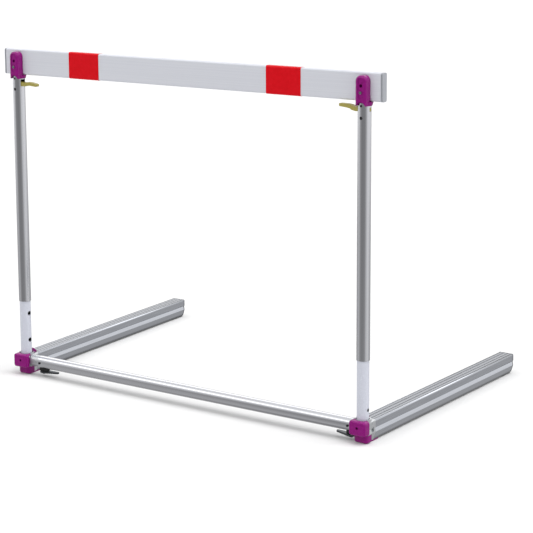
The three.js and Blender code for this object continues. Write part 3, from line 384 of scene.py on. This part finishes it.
def place_mesh(name, shape, finishes, faceted=False):
    """Makes an object from a finished mesh. The broad faces of a faceted one are shaded flat."""
    for face in shape.faces:
        face.smooth = not (faceted and is_broad(face))
    for edge in shape.edges:
        edge.smooth = not is_crease(edge)
    mesh = bpy.data.meshes.new(name)
    shape.to_mesh(mesh)
    shape.free()
    for finish in finishes:
        mesh.materials.append(finish)
    piece = bpy.data.objects.new(name, mesh)
    scene.collection.objects.link(piece)
    if not faceted:
        even = piece.modifiers.new("even_shading", "WEIGHTED_NORMAL")
        even.keep_sharp = True
    return piece


def join_spring(piece):
    """Bakes the placing of a return spring into its mesh, and leaves it on no body."""
    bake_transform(piece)


def seam(shape, from_x, to_x):
    """Sinks a groove all round a body between two places along X."""
    for place in (from_x, to_x):
        parts = shape.verts[:] + shape.edges[:] + shape.faces[:]
        bmesh.ops.bisect_plane(shape, geom=parts, dist=1e-7, plane_co=(place, 0, 0), plane_no=(1, 0, 0))
    low, high = sorted((from_x, to_x))
    band = [face for face in shape.faces if low < face.calc_center_median().x < high]
    bmesh.ops.inset_region(shape, faces=band, thickness=SEAM_LEAN, depth=-SEAM_DEPTH, use_even_offset=True)


def sink_sides(shape):
    """Sinks a panel into the broad side faces of a release lever, which look along Y."""
    for way in (-1, 1):
        broad = [
            face
            for face in shape.faces
            if face.normal.y * way > 0.99 and face.calc_area() > LEVER_SIDE_AREA
        ]
        bmesh.ops.inset_region(
            shape,
            faces=broad,
            thickness=LEVER_RIM,
            depth=-LEVER_RECESS,
            use_even_offset=True,
        )


def shaped(node, shape):
    """Adds the detail that the plain form of a node leaves out."""
    if node.startswith("bar_end_cap"):
        way = -1 if side_of(node) == "left" else 1
        seam(shape, way * CAP_SEAM[0], way * CAP_SEAM[1])
    if node.startswith("release_lever"):
        sink_sides(shape)


def socket_faces(shape, axis, way, reach):
    """The faces of a screw's socket, below its outermost plane and near its axis."""
    outermost = max(vertex.co[axis] * way for vertex in shape.verts)
    rim = [vertex.co for vertex in shape.verts if vertex.co[axis] * way > outermost - RIM_DEPTH]
    middle = sum(rim, Vector()) / len(rim)
    found = []
    for face in shape.faces:
        away = face.calc_center_median() - middle
        depth = -away[axis] * way
        away[axis] = 0
        if depth > SOCKET_DEPTH and away.length < reach:
            found.append(face)
    return found


def groove_faces(shape, turn):
    """The floors, walls and eased lips of the fine grooves in the top of a foot."""
    places = {}
    for face in shape.faces:
        middle = face.calc_center_median()
        places[face] = middle.x * math.cos(turn) - middle.y * math.sin(turn)
    low = min(places.values()) + GROOVE_MARGIN
    high = max(places.values()) - GROOVE_MARGIN
    top = max(vertex.co.z for vertex in shape.verts)
    shallow, deep = GROOVE_DEPTHS
    return [
        face
        for face, place in places.items()
        if low < place < high and top - deep < face.calc_center_median().z < top - shallow
    ]


def painted_shade_faces(node, shape):
    """Faces in narrow recesses, which take painted shade."""
    if node.startswith("foot_profile"):
        return groove_faces(shape, FOOT_TURN[side_of(node)])
    if node.startswith("side_screw"):
        return socket_faces(shape, 0, -1 if side_of(node) == "left" else 1, SIDE_SOCKET_REACH)
    if node.startswith("bracket_screw"):
        return socket_faces(shape, 1, -1, BRACKET_SOCKET_REACH)
    return []


def machined(node, finish):
    """The node's own form with smooth round faces and its sharp edges eased."""
    shape = bmesh.new()
    shape.from_mesh(frame["nodes"][node].data)
    bmesh.ops.remove_doubles(shape, verts=shape.verts, dist=SAME_POINT)
    bmesh.ops.dissolve_limit(
        shape,
        angle_limit=SAME_PLANE,
        verts=shape.verts,
        edges=shape.edges,
        use_dissolve_boundaries=False,
    )
    shaped(node, shape)
    sharp = [edge for edge in shape.edges if edge.is_manifold and edge.calc_face_angle(0) > EASED_ANGLE]
    bmesh.ops.bevel(
        shape,
        geom=sharp,
        offset=EASE,
        offset_type="OFFSET",
        segments=2,
        profile=0.5,
        affect="EDGES",
        clamp_overlap=True,
        material=-1,
    )
    finishes = [finish]
    # Faces in narrow recesses take a second material of painted shade.
    shade_painted_faces = painted_shade_faces(node, shape)
    if shade_painted_faces:
        finishes.append(recess_shade)
        for face in shade_painted_faces:
            face.material_index = 1
    piece = place_mesh(node + "_finished", shape, finishes, node.startswith("foot_profile"))
    if node.startswith("return_spring"):
        join_spring(piece)
    else:
        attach(piece, body_of[node])
    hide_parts(node)


finish_of = {
    "board_white": board_pvc,
    "cap_grey": grey_polyamide,
    "band_red": red_film,
    "purple_plastic": purple_polypropylene,
    "zinc_steel": zinc_steel,
    "satin_tube": upright_aluminium,
    "black_plastic": black_nylon,
    "spring_steel": spring_wire,
    "mustard_plastic": mustard_nylon,
    "white_tube": white_powder,
    "cast_aluminium": cast_aluminium,
    "dark_plastic": dark_polypropylene,
    "cast_iron": cast_iron,
}
# Small fasteners in shade, darkened with painted shade.
SHADE_DARKENED_FASTENERS = ("tube_rivet", "front_cap_screw", "housing_rivet", "clamp_bolt")

for node in sorted(frame["nodes"]):
    if slot_of[node] == "foot_aluminium":
        finish = foot_aluminium[side_of(node)]
    elif node == "cross_tube":
        finish = cross_aluminium
    elif node.startswith(SHADE_DARKENED_FASTENERS):
        finish = shade_darkened_zinc
    # The clamp levers, darkened with painted shade.
    elif node.startswith("clamp_lever"):
        finish = shade_darkened_steel
    else:
        finish = finish_of[slot_of[node]]
    machined(node, finish)


# Outer radius of an inner tube, which the liners of its lock holes are bent to.
TUBE_RADIUS = 15.3 * MM
# Millimetres from the hole's axis and over the tube's surface, for each ring of a liner.
LINER_RINGS = ((6.2, 0.02), (6.2, 0.14), (4.7, 0.14), (4.7, -1.5))
# The lock holes of a tube, with the height of the lowest and the step between them in millimetres.
HOLE_COUNT = 5
LOWEST_HOLE = 98.0
HOLE_STEP = 76.2


def line_lock_hole(name, side, height):
    """A black nylon liner round a lock hole, bent to the tube's surface."""
    shape = bmesh.new()
    last_reach = LINER_RINGS[0][0]
    bmesh.ops.create_circle(shape, cap_ends=False, segments=32, radius=last_reach * MM)
    upended = Matrix.Rotation(math.radians(90), 3, "Y")
    bmesh.ops.rotate(shape, verts=shape.verts, cent=(0, 0, 0), matrix=upended)
    ring = shape.verts[:]
    edges = shape.edges[:]
    for place, (reach, lift) in enumerate(LINER_RINGS):
        if place:
            grown = bmesh.ops.extrude_edge_only(shape, edges=edges)["geom"]
            ring = [item for item in grown if isinstance(item, bmesh.types.BMVert)]
            edges = [item for item in grown if isinstance(item, bmesh.types.BMEdge)]
            ratio = reach / last_reach
            bmesh.ops.scale(shape, vec=(1, ratio, ratio), verts=ring)
            last_reach = reach
        for vertex in ring:
            vertex.co.x = math.sqrt((TUBE_RADIUS + lift * MM) ** 2 - vertex.co.y**2)
    bmesh.ops.scale(shape, vec=(-side, 1, 1), verts=shape.verts)
    bmesh.ops.translate(shape, vec=(side * UPRIGHT_REACH, UPRIGHT_Y, height), verts=shape.verts)
    bmesh.ops.recalc_face_normals(shape, faces=shape.faces)
    piece = place_mesh(name, shape, [black_nylon])
    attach(piece, "base")


for side_name, side in (("left", -1), ("right", 1)):
    for step in range(HOLE_COUNT):
        hole_height = (LOWEST_HOLE + HOLE_STEP * step) * MM
        line_lock_hole(f"lock_hole_liner_{side_name}_{step + 1}", side, hole_height)


# Studio with its floor, surround and lamps

# The size of the floor, and how far it lies under the feet so that it shares no plane with them.
FLOOR_SIZE = 40
FLOOR_DROP = 0.5 * MM
# Light that the floor adds for the camera alone, which leaves it white round a soft shadow.
FLOOR_LIFT = 0.07
# How brightly the surround lights matt surfaces. The tones after it are seen in reflections alone.
AMBIENT = 0.55
# The way to the darkest wall, counted from the front toward the right.
DARK_WALL_AZIMUTH = math.radians(10)
# Tones of the walls, low down and higher up. The place round the room is 1 at the dark wall, 0 opposite.
LOW_TONES = (
    (0.0, 0.5),
    (0.19, 0.53),
    (0.36, 0.78),
    (0.56, 0.8),
    (0.75, 0.64),
    (0.83, 0.44),
    (0.9, 0.32),
    (1.0, 0.26),
)
HIGH_TONES = ((0.0, 0.6), (0.12, 1.05), (0.5, 0.95), (0.72, 0.75), (0.82, 0.42), (0.9, 0.3), (1.0, 0.25))
# A height is the Z of the unit direction looked in. Low tones give way to high ones between these two.
RISEN_HEIGHTS = (-0.2, -0.12)
# Toward the far left, over these values of X, the low walls dim to this share.
LEFT_SPAN = (-0.95, -0.6)
LEFT_SHARE = 0.6
# Tone of each further part of the room, and the heights between which it takes over.
CEILING = (0.95, (0.15, 0.65))
GROUND = (0.48, (-0.25, -0.55))
UNDERSIDE = (0.12, (-0.75, -0.95))
# Two strip lights, one on the dark wall's side and one at the back. Each has tones over height, and a
# strength for the places round the room.
TOP_TONES = ((0.55, 0.0), (0.64, 1.0), (0.74, 1.0), (0.83, 0.0))
TOP_REACH = ((0.45, 0.0), (0.6, 1.0))
BACK_TONES = ((0.39, 0.0), (0.45, 1.0), (0.6, 1.0), (0.7, 0.0))
BACK_REACH = ((0.1, 1.3), (0.25, 0.0))


def lay_floor():
    """A pale floor that runs out of sight, white to the camera and still holding the shadow."""
    shape = bmesh.new()
    bmesh.ops.create_grid(shape, x_segments=1, y_segments=1, size=FLOOR_SIZE)
    mesh = bpy.data.meshes.new("studio_floor")
    shape.to_mesh(mesh)
    shape.free()
    floor = bpy.data.objects.new("studio_floor", mesh)
    scene.collection.objects.link(floor)
    floor.location.z = -FLOOR_DROP
    # Matt white floor paint, without any sheen.
    floor_paint = surface("matt_white_floor_paint", "dfdfdf", 0, 0.9, {"Specular IOR Level": 0})
    tree = floor_paint.node_tree
    shader = tree.nodes["Principled BSDF"]
    seen = add_node(tree, "ShaderNodeLightPath").outputs["Is Camera Ray"]
    lift = add_node(tree, "ShaderNodeMath", {"operation": "MULTIPLY", 1: FLOOR_LIFT}, {0: seen})
    shader.inputs["Emission Color"].default_value = (1, 1, 1, 1)
    tree.links.new(lift.outputs[0], shader.inputs["Emission Strength"])
    mesh.materials.append(floor_paint)
    floor.visible_glossy = False


def tone_ramp(tree, source, stops):
    """A tone that changes evenly from stop to stop, each a place and its level."""
    ramp = add_node(tree, "ShaderNodeValToRGB", {}, {"Fac": source})
    ramp.color_ramp.elements[0].position = stops[0][0]
    ramp.color_ramp.elements[1].position = stops[-1][0]
    for place, _ in stops[1:-1]:
        ramp.color_ramp.elements.new(place)
    for element, (_, level) in zip(ramp.color_ramp.elements, stops):
        element.color = (level, level, level, 1)
    return ramp.outputs["Color"]


def mix_tones(tree, share, first, second):
    """A mix of two tones by a share, which gives the second where it is 1."""
    mixer = add_node(tree, "ShaderNodeMix", {"data_type": "FLOAT"})
    for socket, source in ((0, share), (2, first), (3, second)):
        if isinstance(source, float):
            mixer.inputs[socket].default_value = source
        else:
            tree.links.new(source, mixer.inputs[socket])
    return mixer.outputs[0]


def surround():
    """An even pale room. Reflections see a dark wall at the camera's side and a white ceiling."""
    world = bpy.data.worlds.new("pale_room")
    scene.world = world
    world.use_nodes = True
    tree = world.node_tree
    background = tree.nodes["Background"]
    background.inputs["Color"].default_value = (1, 1, 1, 1)
    toward = add_node(tree, "ShaderNodeTexCoord").outputs["Generated"]
    split = add_node(tree, "ShaderNodeSeparateXYZ", {}, {0: toward})
    height = split.outputs["Z"]
    flat = add_node(tree, "ShaderNodeVectorMath", {"operation": "MULTIPLY", 1: (1, 1, 0)}, {0: toward})
    unit = add_node(tree, "ShaderNodeVectorMath", {"operation": "NORMALIZE"}, {0: flat.outputs[0]})
    wall_way = (math.sin(DARK_WALL_AZIMUTH), -math.cos(DARK_WALL_AZIMUTH), 0)
    facing = add_node(
        tree,
        "ShaderNodeVectorMath",
        {"operation": "DOT_PRODUCT", 1: wall_way},
        {0: unit.outputs[0]},
    )
    round_place = level_over(tree, facing.outputs["Value"], (-1, 1))
    left_dim = level_over(tree, split.outputs["X"], LEFT_SPAN, (LEFT_SHARE, 1))
    low = tone_ramp(tree, round_place, LOW_TONES)
    high = tone_ramp(tree, round_place, HIGH_TONES)
    dimmed = add_node(tree, "ShaderNodeMath", {"operation": "MULTIPLY"}, {0: low, 1: left_dim}).outputs[0]
    room = mix_tones(tree, level_over(tree, height, RISEN_HEIGHTS), dimmed, high)
    for tone, heights in (CEILING, GROUND, UNDERSIDE):
        room = mix_tones(tree, level_over(tree, height, heights), room, tone)
    for tones, reach in ((TOP_TONES, TOP_REACH), (BACK_TONES, BACK_REACH)):
        strip = tone_ramp(tree, height, tones)
        spread = tone_ramp(tree, round_place, reach)
        room = add_node(
            tree,
            "ShaderNodeMath",
            {"operation": "MULTIPLY_ADD"},
            {0: strip, 1: spread, 2: room},
        ).outputs[0]
    rays = add_node(tree, "ShaderNodeLightPath")
    mirrored = add_node(
        tree,
        "ShaderNodeMath",
        {"operation": "MAXIMUM"},
        {0: rays.outputs["Is Glossy Ray"], 1: rays.outputs["Is Transmission Ray"]},
    )
    lit = mix_tones(tree, mirrored.outputs[0], AMBIENT, room)
    level = mix_tones(tree, rays.outputs["Is Camera Ray"], lit, 1.0)
    tree.links.new(level, background.inputs["Strength"])


def hang_sun(name, azimuth, elevation, spread, strength):
    """A wide soft light from one direction, as from a large diffuser. Its angles are in degrees."""
    data = bpy.data.lights.new(name, "SUN")
    data.angle = math.radians(spread)
    data.energy = strength
    lamp = bpy.data.objects.new(name, data)
    scene.collection.objects.link(lamp)
    turn = math.radians(azimuth)
    rise = math.radians(elevation)
    toward = Vector((math.sin(turn) * math.cos(rise), -math.cos(turn) * math.cos(rise), math.sin(rise)))
    lamp.rotation_mode = "QUATERNION"
    lamp.rotation_quaternion = (-toward).to_track_quat("-Z", "Y")
    lamp.visible_glossy = False


lay_floor()
surround()
# The key light comes from high on the right, and the weaker fill light from the front left.
hang_sun("key_diffuser", 100, 62, 40, 1.8)
hang_sun("fill_diffuser", -30, 65, 60, 1.1)
